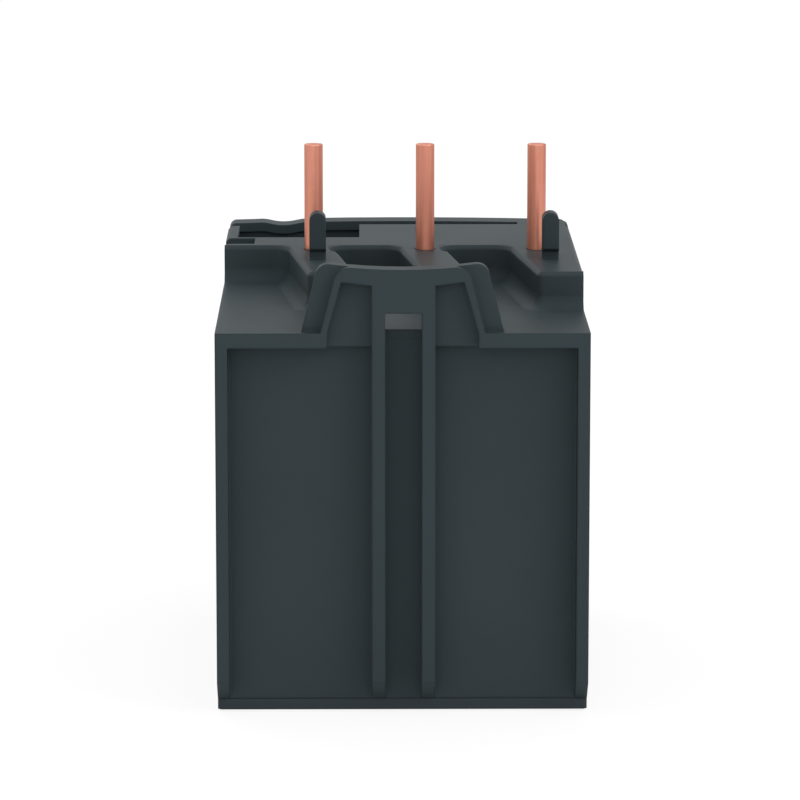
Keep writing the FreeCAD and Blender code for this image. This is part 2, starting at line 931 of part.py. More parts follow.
# Bell crank with an input arm, an output arm and the arm that carries the flag
def trip_rocker():
    low = carriage_level
    high = flag_arm_level + arm_height
    root = hub_radius - gap
    lean = flag_x - rocker_x
    out_end = -rocker_output_arm - 1
    in_end = rocker_input_arm + 1
    out_plan = [(0, -arm_half), (0, root), (out_end, arm_half), (out_end, -arm_half)]
    in_plan = [(-root, 0), (arm_half, 0), (arm_half, in_end), (-arm_half, in_end)]
    flag_end = -rocker_flag_arm
    flag_plan = [(-root, 0), (lean - arm_half, flag_end), (lean + arm_half, flag_end), (root, 0)]
    parts = [
        rod_z(hub_radius, rocker_x, rocker_y, (low, high)),
        rocker_arm(out_plan, onward(output_level, arm_height)),
        rocker_arm(in_plan, onward(input_level, arm_height)),
        rocker_arm(flag_plan, onward(flag_arm_level, flag_arm_thickness)),
    ]
    return join(parts).cut(rod_z(pivot_radius + fit, rocker_x, rocker_y, (low - 1, high + 1)))


# Coloured plate at the end of the rocker's long arm
def trip_flag():
    zs = (flag_arm_level + flag_arm_thickness, flag_top)
    plate = box(around(flag_x, flag_width / 2), onward(flag_y, flag_thickness), zs)
    return plate.makeChamfer(0.3, along(plate, REARWARD))


# Lever with a flexing long arm, on the pin of the adjusting slide
def compensating_lever():
    x = compensator_x
    y = compensator_y
    thin = around(x, compensator_thickness / 2)
    high = adjust_level - gap
    parts = [
        rod_z(hub_radius, x, y, (compensator_level, high)),
        box(thin, (y, lever_nose_y + lever_tail), onward(compensator_level, compensator_height)),
        box(thin, (rocker_pad_y - gap, y), onward(input_level, arm_height)),
    ]
    return join(parts).cut(rod_z(pivot_radius + fit, x, y, (compensator_level - 1, high + 1)))


# Sliding plate that the dial's cam pushes, with the lever's pin below it
def adjusting_slide():
    tab_x = dial_x + cam_radius + touch
    ys = (aux_rear_y - 3, aux_rear_y + 3)
    zs = (adjust_level, adjust_top)
    tab_ys = (panel_rear_y + gap, panel_rear_y + 2 * gap + cam_thickness)
    parts = [
        box((tab_x, compensator_x + slide_half), ys, zs),
        box(around(compensator_x, slide_half), (ys[0], compensator_y + slide_half), zs),
        box(onward(tab_x, 2 * pivot_radius + slide_half), (tab_ys[0], ys[1]), zs),
        box(onward(tab_x, adjust_thickness), tab_ys, (adjust_level, dial_z + cam_radius)),
        rod_z(pivot_radius, compensator_x, compensator_y, (compensator_level, adjust_top)),
    ]
    plate = join(parts)

    def plate_corner(point):
        return abs(point.z - (adjust_level + adjust_top) / 2) < 0.01 and point.y > aux_rear_y

    plate = plate.makeChamfer(slide_bevel, along(plate, UP, plate_corner))
    reach = slide_pin_half + fit
    for x in slide_post_xs:
        slot_xs = (x - adjust_travel - reach, x + reach)
        plate = plate.cut(box(slot_xs, around(slide_post_y, reach), (adjust_level - 1, adjust_top + 1)))
    return plate


# Slider behind the bimetals, with a finger for each and the differential lever's pin
def sensing_slider(y, base, finger_zs, finger_side):
    ys = around(y, slider_width / 2)
    finger_front = overload_slider_y - slider_width / 2 - finger_reach
    start_x = bimetal_xs[-1] - slider_tail
    parts = [box((start_x, bimetal_xs[0] + slider_head), ys, base)]
    for x in bimetal_xs:
        near = bimetal_thickness / 2 + gap
        first, last = sided(finger_side, near, near + finger_thickness)
        parts.append(box((x + first, x + last), (finger_front, ys[1]), finger_zs))
    parts.append(rod_z(lever_pin, lever_x, y, (base[1] - 0.5, lever_level + lever_thickness)))
    return join(parts)


def overload_slider():
    zs = onward(slider_level, slider_height)
    return sensing_slider(overload_slider_y, zs, zs, 1)


def phase_loss_slider():
    return sensing_slider(phase_slider_y, (slider_level, phase_top), (phase_level, phase_top), -1)


# Lever that adds the two sliders' motions and pushes the compensating lever
def differential_lever():
    x = lever_x
    y = overload_slider_y
    tail_y = phase_slider_y + lever_tail
    plan = [
        (x - lever_half, lever_nose_y - lever_half),
        (x + lever_nose, lever_nose_y - lever_half),
        (x + lever_nose, lever_nose_y + lever_half),
        (x + lever_half, lever_nose_y + lever_half),
        (x + lever_half + 0.6, tail_y),
        (x - lever_half - 0.6, tail_y),
    ]
    lever = prism_z(plan, onward(lever_level, lever_thickness))
    through = around(lever_level, 2 * lever_thickness)
    lever = lever.cut(rod_z(lever_pin + fit, x, y, through))
    return lever.cut(rod_z(lever_pin + lever_play, x, phase_slider_y, through))


# Moulded bridge under the sliders, seated on the bottom cover and the rear wall
def slider_guide():
    ys = (overload_slider_y - slider_width / 2 - 1, recess_y - wall)
    top = slider_level - gap
    middle = (overload_slider_y + phase_slider_y) / 2
    behind = phase_slider_y + slider_width / 2 + gap
    parts = [box(around(0, inner_side), ys, (top - 2.5, top))]
    for sign in (1, -1):
        parts.append(box(sided(sign, inner_side - 2, inner_side), ys, (base_thickness, top)))
    rib_top = slider_level + slider_height - gap
    parts.append(box(around(0, inner_side), around(middle, seam), (top - 1, rib_top)))
    parts.append(box(around(0, inner_side), (behind, ys[1]), (top - 1, phase_level)))
    return join(parts)


# Moulded block with the screw wells, the clamp chambers and the floor of the mechanism
def terminal_block():
    aux_inner = box(around(0, inner_side), (aux_front_y + 2, aux_rear_y), (power_top, aux_top))
    aux_face = box((-half, half), (aux_front_y, deck_front_y - seam), (aux_bottom, aux_top))
    power = box(around(0, inner_side), (power_front_y, power_rear_y), (base_thickness, power_top))

    def front_corner(point):
        return point.y < aux_front_y + 0.01

    aux_face = aux_face.makeFillet(aux_round, along(aux_face, UP, front_corner))
    below = box((-half, half), (aux_front_y - 1, power_front_y - 0.01), (0, aux_bottom))
    latches = [latch(sign, latch_y, power_screw_z) for sign in (1, -1)]
    block = join([aux_inner.cut(below), aux_face, power] + latches)
    for x in terminal_xs:
        block = block.cut(power_chamber(x))
    for x in aux_xs:
        block = block.cut(aux_chamber(x))
    return join([block] + carriage_guides() + slide_posts() + [rocker_post()])


# Wedge on the side of a piece that snaps into a window of the housing
def latch(sign, y, z):
    profile = [
        (inner_side - 0.5, y),
        (inner_side + latch_lip, y),
        (inner_side + seam, y + latch_length),
        (inner_side - 0.5, y + latch_length),
    ]
    return prism_z([(sign * x, py) for x, py in profile], around(z, latch_width / 2))


def power_chamber(x):
    z = power_screw_z
    reach = power_screw_radius + gap
    bar_room = box(around(x, bar_half_width), (cage_rear_y, power_rear_y + 1), (bar_level, bar_top))
    cage_room = box(
        around(x, cage_half_width + gap),
        (cage_closed_y - gap, cage_rear_y + gap),
        (cage_bottom - gap, bar_top),
    )
    well = rod_y(power_well_radius, x, z, (power_front_y - 1, shoulder_y))
    shank = box(around(x, reach), (shoulder_y - 0.1, cage_closed_y), around(z, reach))
    return well.fuse([shank, cage_room, bar_room, wire_shaft(x, (0, cage_bottom))])


def aux_chamber(x):
    z = aux_screw_z
    reach = aux_washer_half + gap
    mouth = aux_head_radius + gap
    bore_half = aux_screw_radius + gap
    bore_end = aux_washer_y + aux_shank + aux_travel + gap
    plate_ys = (aux_plate_y - 0.01, aux_plate_y + aux_plate)
    wire_ys = (aux_washer_y + aux_washer, aux_plate_y - gap)
    rooms = [
        box(around(x, reach), (aux_front_y + aux_fascia, aux_plate_y), around(z, reach)),
        box(around(x, aux_plate_half), plate_ys, (aux_tail_level, aux_plate_top)),
        box(around(x, aux_tail_half), (aux_plate_y, aux_rear_y + 1), onward(aux_tail_level, aux_plate)),
        box(around(x, bore_half), (aux_plate_y, bore_end), around(z, bore_half)),
        box(around(x, aux_wire_half), wire_ys, (aux_bottom - 1, z - reach + touch)),
    ]
    return box(around(x, mouth), (aux_front_y - 1, aux_washer_y), around(z, mouth)).fuse(rooms)


# Ribs beside the carriage's tongue and two pads under its bar
def carriage_guides():
    zs = (power_top - 0.5, carriage_level - touch)
    near = tongue_half + gap
    guides = []
    for sign in (1, -1):
        ys = (carriage_y - tongue_reach - 1, carriage_rear_y + tongue_reach + 1)
        guides.append(box(sided(sign, near, near + pad_half), ys, zs))
        guides.append(box(around(sign * aux_pitch, pad_half), (carriage_y - 2, carriage_rear_y + 1), zs))
    return guides


# Posts that carry the adjusting slide, each with a peg through its slot
def slide_posts():
    steps = ((slide_post_half, adjust_level - touch), (slide_pin_half, adjust_top + 0.6))
    posts = []
    for x in slide_post_xs:
        for reach, top in steps:
            posts.append(box(around(x, reach), around(slide_post_y, reach), (aux_top - 0.5, top)))
    return posts


def rocker_post():
    foot_zs = (power_top - 0.5, carriage_level - gap)
    foot = box(around(rocker_x, hub_radius), around(rocker_y, hub_radius), foot_zs)
    return foot.fuse(rod_z(pivot_radius, rocker_x, rocker_y, (power_top, flag_arm_level + arm_height + 0.5)))


# Height of the panel's top wall, crowned from side to side
def crown(x):
    return deck_height - bezel_crown * (x / half) ** 2


# Edges of the crowned top with its finger dip, from -reach to +reach
def crown_edges(drop, reach, y):
    quarter = dip_width / 4
    lift = dip_depth / 2
    level = crown(dip_x) - drop
    start = dip_x - dip_width / 2
    end = dip_x + dip_width / 2

    def at(x):
        return Vec(x, y, crown(x) - drop)

    low_left = Vec(dip_x - quarter, y, level - lift)
    low_right = Vec(dip_x + quarter, y, level - lift)
    spans = [
        (at(-reach), at((start - reach) / 2), at(start)),
        (at(start), Vec(start + quarter / 2, y, level - lift / 4), low_left),
        (low_left, Vec(dip_x, y, level - dip_depth), low_right),
        (low_right, Vec(end - quarter / 2, y, level - lift / 4), at(end)),
        (at(end), at((end + reach) / 2), at(reach)),
    ]
    return [Part.Arc(*span).toShape() for span in spans]


# Closed outline under the crowned top, as a plate between two depths
def crowned_plate(drop, reach, low, ys):
    y = ys[0]
    top = crown(reach) - drop
    edges = crown_edges(drop, reach, y) + [
        Part.makeLine(Vec(reach, y, top), Vec(reach, y, low)),
        Part.makeLine(Vec(reach, y, low), Vec(-reach, y, low)),
        Part.makeLine(Vec(-reach, y, low), Vec(-reach, y, top)),
    ]
    return Part.Face(Part.Wire(edges)).extrude(Vec(0, ys[1] - y, 0))


# Frame round the front panel, with rounded upper corners
def bezel():
    ys = (bezel_front_y, bezel_rear_y)
    outside = crowned_plate(0, half, panel_bottom, ys)

    def upper_corner(point):
        return point.z > panel_bottom + 1 and abs(point.x) > half - 0.01

    outside = outside.makeFillet(bezel_round, along(outside, REARWARD, upper_corner))
    inside = crowned_plate(bezel_top_wall, half - bezel_side, panel_bottom + bezel_side, ys)
    return outside.cut(inside)


# Front panel with its frame, side walls, hinge lugs and snap tongues
def control_panel():
    low = panel_bottom
    inner = half - bezel_side + 0.5
    plate_top = deck_height - panel_drop
    skirt_ys = (panel_face_y - skirt_front, panel_face_y + touch)
    lug_in = lens_half + gap
    hinge_ys = (bezel_front_y - 1, hinge_y + hinge_radius + gap)
    frame = bezel().cut(box(around(0, lug_in), hinge_ys, (low - 1, lens_bottom + 0.6)))
    parts = [
        frame,
        box(around(0, inner), (panel_face_y, panel_rear_y), (low, plate_top)),
        box(around(0, inner), skirt_ys, (plate_top - 0.5, deck_height - bezel_top_wall + touch)),
    ]
    for sign in (1, -1):
        wall_ys = (bezel_rear_y - 0.5, deck_front_y - seam)
        tongue_ys = (panel_rear_y - 0.5, tongue_y + latch_length + 1.2)
        lug_ys = (hinge_y - hinge_radius, bezel_front_y + 0.5)
        side_top = deck_height - wall - touch
        parts.append(box(sided(sign, half - bezel_side, half), wall_ys, (low, side_top)))
        tongue_xs = sided(sign, inner_side - 1.2, inner_side)
        parts.append(box(tongue_xs, tongue_ys, around(tongue_z, tongue_half_height)))
        parts.append(latch(sign, tongue_y, tongue_z))
        parts.append(box(sided(sign, lug_in, lug_in + 1.2), lug_ys, around(hinge_z, hinge_radius)))
    panel = join(parts)
    through = (panel_face_y - 1, panel_rear_y + 1)
    for x, z in ((stop_x, low_row_z), (stop_x, high_row_z), (test_x, low_row_z)):
        reach = plunger_half + fit
        panel = panel.cut(box(around(x, reach), through, around(z, reach)))
    panel = panel.cut(rod_y(dial_shaft_radius + fit, dial_x, dial_z, through))
    panel = panel.cut(rod_y(selector_shaft_radius + fit, test_x, high_row_z, through))
    shift = rocker_flag_arm * carriage_travel / rocker_output_arm
    window = box(around(flag_x + shift, flag_window_half), through, (flag_arm_level + 0.8, flag_top))
    panel = panel.cut(window)
    for sign in (1, -1):
        eye_xs = sided(sign, lug_in - touch, lug_in + 1)
        panel = panel.cut(rod_x(hinge_pin_radius + fit, hinge_y, hinge_z, eye_xs))
    return panel


# Push button: bevelled round cap, square plunger and two snap barbs behind the panel
def push_button(x, z, radius):
    cap = rod_y(radius, x, z, onward(push_front_y, push_cap))
    rim = [edge for edge in cap.Edges if abs(edge.CenterOfMass.y - push_front_y) < 0.01]
    cap = cap.makeChamfer(push_bevel, rim)
    reach = plunger_half
    barb_y = panel_rear_y + gap
    barb = [
        (x - reach - barb_lip, barb_y),
        (x + reach + barb_lip, barb_y),
        (x + reach, barb_y + 2 * barb_lip),
        (x - reach, barb_y + 2 * barb_lip),
    ]
    plunger_ys = (push_front_y + push_cap - 0.2, push_front_y + plunger_length)
    plunger = box(around(x, reach), plunger_ys, around(z, reach))
    return join([cap, plunger, prism_z(barb, around(z, reach))])


# Return spring of square wire between the panel and the button's cap
def push_spring(x, z):
    reach = spring_wire / 2
    y0 = push_front_y + push_cap + reach
    y1 = panel_face_y - reach
    radius = plunger_half * math.sqrt(2) + reach + touch
    count = spring_turns * spring_sides
    path = []
    for n in range(count + 1):
        angle = 2 * math.pi * n / spring_sides
        y = y0 + (y1 - y0) * n / count
        path.append(Vec(x + radius * math.cos(angle), y, z + radius * math.sin(angle)))
    sides = ((-reach, -reach), (reach, -reach), (reach, reach), (-reach, reach))
    corners = [path[0] + Vec(dx, dy, 0) for dx, dy in sides]
    section = Part.makePolygon(corners + [corners[0]])
    return Part.makePolygon(path).makePipeShell([section], True, False, 1)


# Setting dial: gripped knob with a pointer slot, shaft and spiral cam
def setting_dial():
    outline = []
    for n in range(2 * dial_grips):
        radius = dial_radius - dial_grip_depth * (n % 2)
        angle = math.pi * n / dial_grips
        outline.append((dial_x + radius * math.cos(angle), dial_z + radius * math.sin(angle)))
    knob = prism_y(outline, (push_front_y, panel_face_y - gap))
    shaft = rod_y(dial_shaft_radius, dial_x, dial_z, (panel_face_y - 1, panel_rear_y + gap + cam_thickness))
    reach = dial_radius * 0.7
    slot_ys = (push_front_y - 1, push_front_y + dial_slot_depth)
    slot = box((dial_x - reach, dial_x + reach * 0.8), slot_ys, around(dial_z, 0.6))
    tail_x = dial_x + reach * 0.6
    arrow = [(tail_x, dial_z - 1.3), (dial_x + reach * 1.1, dial_z), (tail_x, dial_z + 1.3)]
    return join([knob, shaft, cam_plate()]).cut(slot.fuse(prism_y(arrow, slot_ys)))


# Cam whose radius grows evenly with the angle over the dial's turn
def cam_plate():
    y = panel_rear_y + gap

    def rise(share):
        angle = math.radians(dial_turn) * share
        radius = cam_radius + adjust_travel * share
        return Vec(dial_x + radius * math.cos(angle), y, dial_z + radius * math.sin(angle))

    edges = []
    for n in range(cam_spans):
        span = [rise((n + share) / cam_spans) for share in (0, 0.5, 1)]
        edges.append(Part.Arc(*span).toShape())
    edges.append(Part.makeLine(rise(1), rise(0)))
    return Part.Face(Part.Wire(edges)).extrude(Vec(0, cam_thickness, 0))


# Small slotted disc that sets manual or automatic reset
def mode_selector():
    x = test_x
    z = high_row_z
    front = push_front_y + gap
    disc = rod_y(selector_radius, x, z, (front, panel_face_y - gap))
    shaft = rod_y(selector_shaft_radius, x, z, (panel_face_y - 1, panel_rear_y + 1.4))
    catch = box(around(x, selector_shaft_radius + 0.7), onward(panel_rear_y + gap, 0.8), around(z, 0.6))
    slot = box(around(x, selector_radius), (front - 1, front + 0.9), around(z, 0.4))
    return join([disc, shaft, catch]).cut(slot)


# Clear cover with its hinge barrel along the lower edge
def clear_cover():
    ys = onward(front_y, lens_thickness)
    sheet = box((-lens_half, lens_half), ys, (lens_bottom, lens_top))
    sheet = sheet.makeChamfer(0.8, along(sheet, REARWARD))
    parts = [
        sheet,
        rod_x(hinge_radius, hinge_y, hinge_z, (-lens_half, lens_half)),
        rod_x(hinge_pin_radius, hinge_y, hinge_z, around(0, lens_half + gap + hinge_reach)),
        box((-lens_half, lens_half), ys, (hinge_z, lens_bottom + 1.5)),
        box((-4, 4), ys, (lens_top - 1, lens_top + 0.5)),
    ]
    return join(parts)


def write(name, shape):
    shape.exportStep(os.path.join("parts", name + ".step"))


os.makedirs("parts", exist_ok=True)
write("rear_housing", rear_housing())
write("bottom_cover", bottom_cover())
write("terminal_block", terminal_block())
write("control_panel", control_panel())
write("clear_cover", clear_cover())
write("setting_dial", setting_dial())
write("mode_selector", mode_selector())
write("stop_button", push_button(stop_x, low_row_z, push_radius))
write("stop_spring", push_spring(stop_x, low_row_z))
write("reset_button", push_button(stop_x, high_row_z, push_radius))
write("reset_spring", push_spring(stop_x, high_row_z))
write("test_button", push_button(test_x, low_row_z, test_radius))
write("test_spring", push_spring(test_x, low_row_z))
write("adjusting_slide", adjusting_slide())
write("compensating_lever", compensating_lever())
write("differential_lever", differential_lever())
write("overload_slider", overload_slider())
write("phase_loss_slider", phase_loss_slider())
write("slider_guide", slider_guide())
write("trip_rocker", trip_rocker())
write("trip_flag", trip_flag())
write("contact_carriage", contact_carriage())
write("nc_bridge", bridge(aux_xs[1], aux_xs[0], carriage_rear_y, 1))
write("no_bridge", bridge(aux_xs[3], aux_xs[2], carriage_y, -1))

for pole, pin_x, terminal_x, bimetal_x in zip(pole_names, pin_xs, terminal_xs, bimetal_xs):
    write("line_pin_" + pole, line_pin(pin_x))
    write("line_strap_" + pole, line_strap(pin_x))
    write("bimetal_" + pole, bimetal(bimetal_x))
    write("heater_" + pole, heater(bimetal_x))
    write("load_bar_" + pole, load_bar(terminal_x))
    write("cage_" + pole, cage(terminal_x))
    write("power_screw_" + pole, power_screw(terminal_x))

for name, x in zip(aux_names, aux_xs):
    contact = aux_contact(x, nc_contact_y, -1) if x > 0 else aux_contact(x, no_contact_y, 1)
    write("aux_contact_" + name, contact)
    write("aux_clamp_" + name, aux_clamp(x))
    write("aux_screw_" + name, aux_screw(x))
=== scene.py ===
import bmesh
import bpy
import json
import math
from mathutils import Matrix, Vector


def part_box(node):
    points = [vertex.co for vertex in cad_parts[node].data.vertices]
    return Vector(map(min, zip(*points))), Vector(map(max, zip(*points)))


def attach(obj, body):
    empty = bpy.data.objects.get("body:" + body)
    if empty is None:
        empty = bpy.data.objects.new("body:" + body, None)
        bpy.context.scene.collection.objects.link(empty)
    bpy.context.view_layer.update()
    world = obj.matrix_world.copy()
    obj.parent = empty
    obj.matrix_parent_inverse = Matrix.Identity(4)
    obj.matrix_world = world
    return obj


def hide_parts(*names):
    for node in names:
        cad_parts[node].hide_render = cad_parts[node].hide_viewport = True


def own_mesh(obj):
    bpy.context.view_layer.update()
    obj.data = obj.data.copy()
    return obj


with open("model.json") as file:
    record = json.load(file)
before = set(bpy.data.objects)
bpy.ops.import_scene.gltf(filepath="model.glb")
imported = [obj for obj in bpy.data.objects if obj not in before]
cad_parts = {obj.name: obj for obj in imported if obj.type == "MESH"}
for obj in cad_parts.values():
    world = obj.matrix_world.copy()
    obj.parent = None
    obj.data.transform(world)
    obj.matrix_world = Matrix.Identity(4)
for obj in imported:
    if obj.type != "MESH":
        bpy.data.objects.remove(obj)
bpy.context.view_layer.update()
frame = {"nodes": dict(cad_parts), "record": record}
scene = bpy.context.scene
scene.view_settings.view_transform = "Standard"
nodes = frame["nodes"]
record = frame["record"]
MM = 0.001

# Camera, as the photograph was taken: place in millimetres, angles in degrees
CAMERA_PLACE = (4.895, 570.264, 134.783)
CAMERA_YAW = 0.489
CAMERA_PITCH = 10.162
CAMERA_LENS = 204.25


def add_camera():
    yaw = math.radians(CAMERA_YAW)
    pitch = math.radians(CAMERA_PITCH)
    forward = Vector((
        -math.sin(yaw) * math.cos(pitch),
        -math.cos(yaw) * math.cos(pitch),
        -math.sin(pitch),
    ))
    camera_data = bpy.data.cameras.new("camera")
    camera_data.lens = CAMERA_LENS
    camera_data.sensor_width = 36.0
    camera_data.clip_start = 0.01
    camera_data.clip_end = 20.0
    camera = bpy.data.objects.new("camera", camera_data)
    camera.location = Vector(CAMERA_PLACE) * MM
    camera.rotation_euler = forward.to_track_quat("-Z", "Y").to_euler()
    scene.collection.objects.link(camera)
    scene.camera = camera


# Light and background. Each lamp has its place and size in metres and its power in watts
LAMP_AIM = (0, 0, 0.03)
LAMPS = (
    ("lamp_above", (-0.1, 0.1, 0.9), 0.9, 2.9),
    ("lamp_right", (-0.9, 0.6, 0.7), 0.6, 4.0),
    ("lamp_front", (0.45, -0.7, 0.9), 0.6, 3.0),
    ("lamp_rear", (0.05, 1.3, 0.45), 0.7, 3.3),
)
SOFT_LIGHT = 0.84
WHITE_LIGHT = 1.0
FLOOR_HALF_SIZE = 6.0
FLOOR_DROP = 0.2
FLOOR_PAPER = (0.9, 0.9, 0.9, 1.0)
FLOOR_GLOW_SHARE = 0.85
WHITE = (1.0, 1.0, 1.0, 1.0)


def add_lamp(name, place, size, power):
    lamp_data = bpy.data.lights.new(name, "AREA")
    lamp_data.shape = "SQUARE"
    lamp_data.size = size
    lamp_data.energy = power
    lamp = bpy.data.objects.new(name, lamp_data)
    lamp.location = Vector(place)
    direction = Vector(LAMP_AIM) - Vector(place)
    lamp.rotation_euler = direction.to_track_quat("-Z", "Y").to_euler()
    scene.collection.objects.link(lamp)


def background_share(tree):
    """Mask of the rays that see white: from the camera, reflections and clear plastic."""
    path = tree.nodes.new("ShaderNodeLightPath")
    direct = combine(tree, "MAXIMUM", path.outputs["Is Camera Ray"], path.outputs["Is Glossy Ray"])
    return combine(tree, "MAXIMUM", direct, path.outputs["Is Transmission Ray"])


def white_background(tree, strength):
    light = tree.nodes.new("ShaderNodeBackground")
    light.inputs["Color"].default_value = WHITE
    light.inputs["Strength"].default_value = strength
    return light.outputs[0]


def add_world():
    world = bpy.data.worlds.new("studio")
    world.use_nodes = True
    tree = world.node_tree
    tree.nodes.clear()
    out = tree.nodes.new("ShaderNodeOutputWorld")
    mix = tree.nodes.new("ShaderNodeMixShader")
    tree.links.new(background_share(tree), mix.inputs["Fac"])
    tree.links.new(white_background(tree, SOFT_LIGHT), mix.inputs[1])
    tree.links.new(white_background(tree, WHITE_LIGHT), mix.inputs[2])
    tree.links.new(mix.outputs[0], out.inputs["Surface"])
    scene.world = world


def white_floor():
    """Paper that glows white to the camera and still takes the shadow."""
    material = bpy.data.materials.new("white_floor")
    material.use_nodes = True
    tree = material.node_tree
    tree.nodes.clear()
    out = tree.nodes.new("ShaderNodeOutputMaterial")
    mix = tree.nodes.new("ShaderNodeMixShader")
    paper = tree.nodes.new("ShaderNodeBsdfDiffuse")
    paper.inputs["Color"].default_value = FLOOR_PAPER
    glow = tree.nodes.new("ShaderNodeEmission")
    glow.inputs["Color"].default_value = WHITE
    glow.inputs["Strength"].default_value = WHITE_LIGHT
    share = tree.nodes.new("ShaderNodeMath")
    share.operation = "MULTIPLY"
    share.inputs[1].default_value = FLOOR_GLOW_SHARE
    tree.links.new(background_share(tree), share.inputs[0])
    tree.links.new(share.outputs[0], mix.inputs["Fac"])
    tree.links.new(paper.outputs[0], mix.inputs[1])
    tree.links.new(glow.outputs[0], mix.inputs[2])
    tree.links.new(mix.outputs[0], out.inputs["Surface"])
    return material


def add_floor():
    sheet = bmesh.new()
    below = Matrix.Translation((0, 0, -FLOOR_DROP * MM))
    bmesh.ops.create_grid(sheet, x_segments=1, y_segments=1, size=FLOOR_HALF_SIZE, matrix=below)
    mesh = bpy.data.meshes.new("floor")
    sheet.to_mesh(mesh)
    sheet.free()
    mesh.materials.append(white_floor())
    floor = bpy.data.objects.new("floor", mesh)
    scene.collection.objects.link(floor)


# Shared effects. A colour mixer has its two colours and its result on these sockets
MIX_FIRST = 6
MIX_SECOND = 7
MIX_RESULT = 2
FULL_RANGE = (0.0, 1.0)
SURFACE_OUTPUTS = [
    ("Colour", "NodeSocketColor"),
    ("Roughness", "NodeSocketFloat"),
    ("Height", "NodeSocketFloat"),
    ("Normal", "NodeSocketVector"),
]


def make_group(name, inputs, outputs):
    group = bpy.data.node_groups.new(name, "ShaderNodeTree")
    for label, kind, value in inputs:
        socket = group.interface.new_socket(name=label, in_out="INPUT", socket_type=kind)
        socket.default_value = value
    for label, kind in outputs:
        group.interface.new_socket(name=label, in_out="OUTPUT", socket_type=kind)
    return group, group.nodes.new("NodeGroupInput"), group.nodes.new("NodeGroupOutput")


def noise(tree, vector, scale, detail):
    texture = tree.nodes.new("ShaderNodeTexNoise")
    texture.inputs["Scale"].default_value = scale
    texture.inputs["Detail"].default_value = detail
    tree.links.new(vector, texture.inputs["Vector"])
    return texture.outputs["Fac"]


def spread(tree, value, given, wanted):
    """Stretches a value from the range given onto the range wanted."""
    scale = tree.nodes.new("ShaderNodeMapRange")
    scale.inputs["From Min"].default_value = given[0]
    scale.inputs["From Max"].default_value = given[1]
    scale.inputs["To Min"].default_value = wanted[0]
    scale.inputs["To Max"].default_value = wanted[1]
    tree.links.new(value, scale.inputs["Value"])
    return scale.outputs["Result"]


def combine(tree, operation, first, second):
    step = tree.nodes.new("ShaderNodeMath")
    step.operation = operation
    tree.links.new(first, step.inputs[0])
    tree.links.new(second, step.inputs[1])
    return step.outputs[0]


def blend_colours(tree, share, first, second):
    mixer = tree.nodes.new("ShaderNodeMix")
    mixer.data_type = "RGBA"
    tree.links.new(share, mixer.inputs["Factor"])
    tree.links.new(first, mixer.inputs[MIX_FIRST])
    tree.links.new(second, mixer.inputs[MIX_SECOND])
    return mixer.outputs[MIX_RESULT]


def shade_colour(tree, colour, amount):
    mixer = tree.nodes.new("ShaderNodeMix")
    mixer.data_type = "RGBA"
    mixer.blend_type = "MULTIPLY"
    mixer.inputs["Factor"].default_value = 1.0
    tree.links.new(colour, mixer.inputs[MIX_FIRST])
    tree.links.new(amount, mixer.inputs[MIX_SECOND])
    return mixer.outputs[MIX_RESULT]


def rounded_normal(tree, radius, samples):
    soft = tree.nodes.new("ShaderNodeBevel")
    soft.samples = samples
    tree.links.new(radius, soft.inputs["Radius"])
    return soft.outputs["Normal"]


def moulding_group():
    """Moulded plastic: slow colour drift, fine satin grain and paler rubbed edges."""
    tree, given, made = make_group(
        "moulded_surface",
        [
            ("Colour", "NodeSocketColor", (0.05, 0.05, 0.05, 1.0)),
            ("Worn Colour", "NodeSocketColor", (0.2, 0.2, 0.2, 1.0)),
            ("Edge Wear", "NodeSocketFloat", 0.3),
            ("Edge Radius", "NodeSocketFloat", 0.0003),
            ("Roughness", "NodeSocketFloat", 0.45),
            ("Grain Scale", "NodeSocketFloat", 9000.0),
        ],
        SURFACE_OUTPUTS,
    )
    place = tree.nodes.new("ShaderNodeTexCoord").outputs["Object"]
    drift = noise(tree, place, scale=55.0, detail=3.0)
    shade = spread(tree, drift, FULL_RANGE, (0.9, 1.1))
    tinted = shade_colour(tree, given.outputs["Colour"], shade)

    soft = rounded_normal(tree, given.outputs["Edge Radius"], samples=8)
    flat = tree.nodes.new("ShaderNodeNewGeometry")
    turn = tree.nodes.new("ShaderNodeVectorMath")
    turn.operation = "DOT_PRODUCT"
    tree.links.new(soft, turn.inputs[0])
    tree.links.new(flat.outputs["Normal"], turn.inputs[1])
    edge = spread(tree, turn.outputs["Value"], (0.98, 0.8), FULL_RANGE)
    patches = spread(tree, noise(tree, place, scale=900.0, detail=5.0), (0.35, 0.7), FULL_RANGE)
    patchy_edge = combine(tree, "MULTIPLY", edge, patches)
    rubbed = combine(tree, "MULTIPLY", patchy_edge, given.outputs["Edge Wear"])
    coloured = blend_colours(tree, rubbed, tinted, given.outputs["Worn Colour"])

    gloss = spread(tree, drift, FULL_RANGE, (-0.05, 0.05))
    roughness = combine(tree, "ADD", given.outputs["Roughness"], gloss)
    grain = tree.nodes.new("ShaderNodeTexNoise")
    grain.inputs["Detail"].default_value = 2.0
    tree.links.new(place, grain.inputs["Vector"])
    tree.links.new(given.outputs["Grain Scale"], grain.inputs["Scale"])
    tree.links.new(coloured, made.inputs["Colour"])
    tree.links.new(roughness, made.inputs["Roughness"])
    tree.links.new(grain.outputs["Fac"], made.inputs["Height"])
    tree.links.new(soft, made.inputs["Normal"])
    return tree


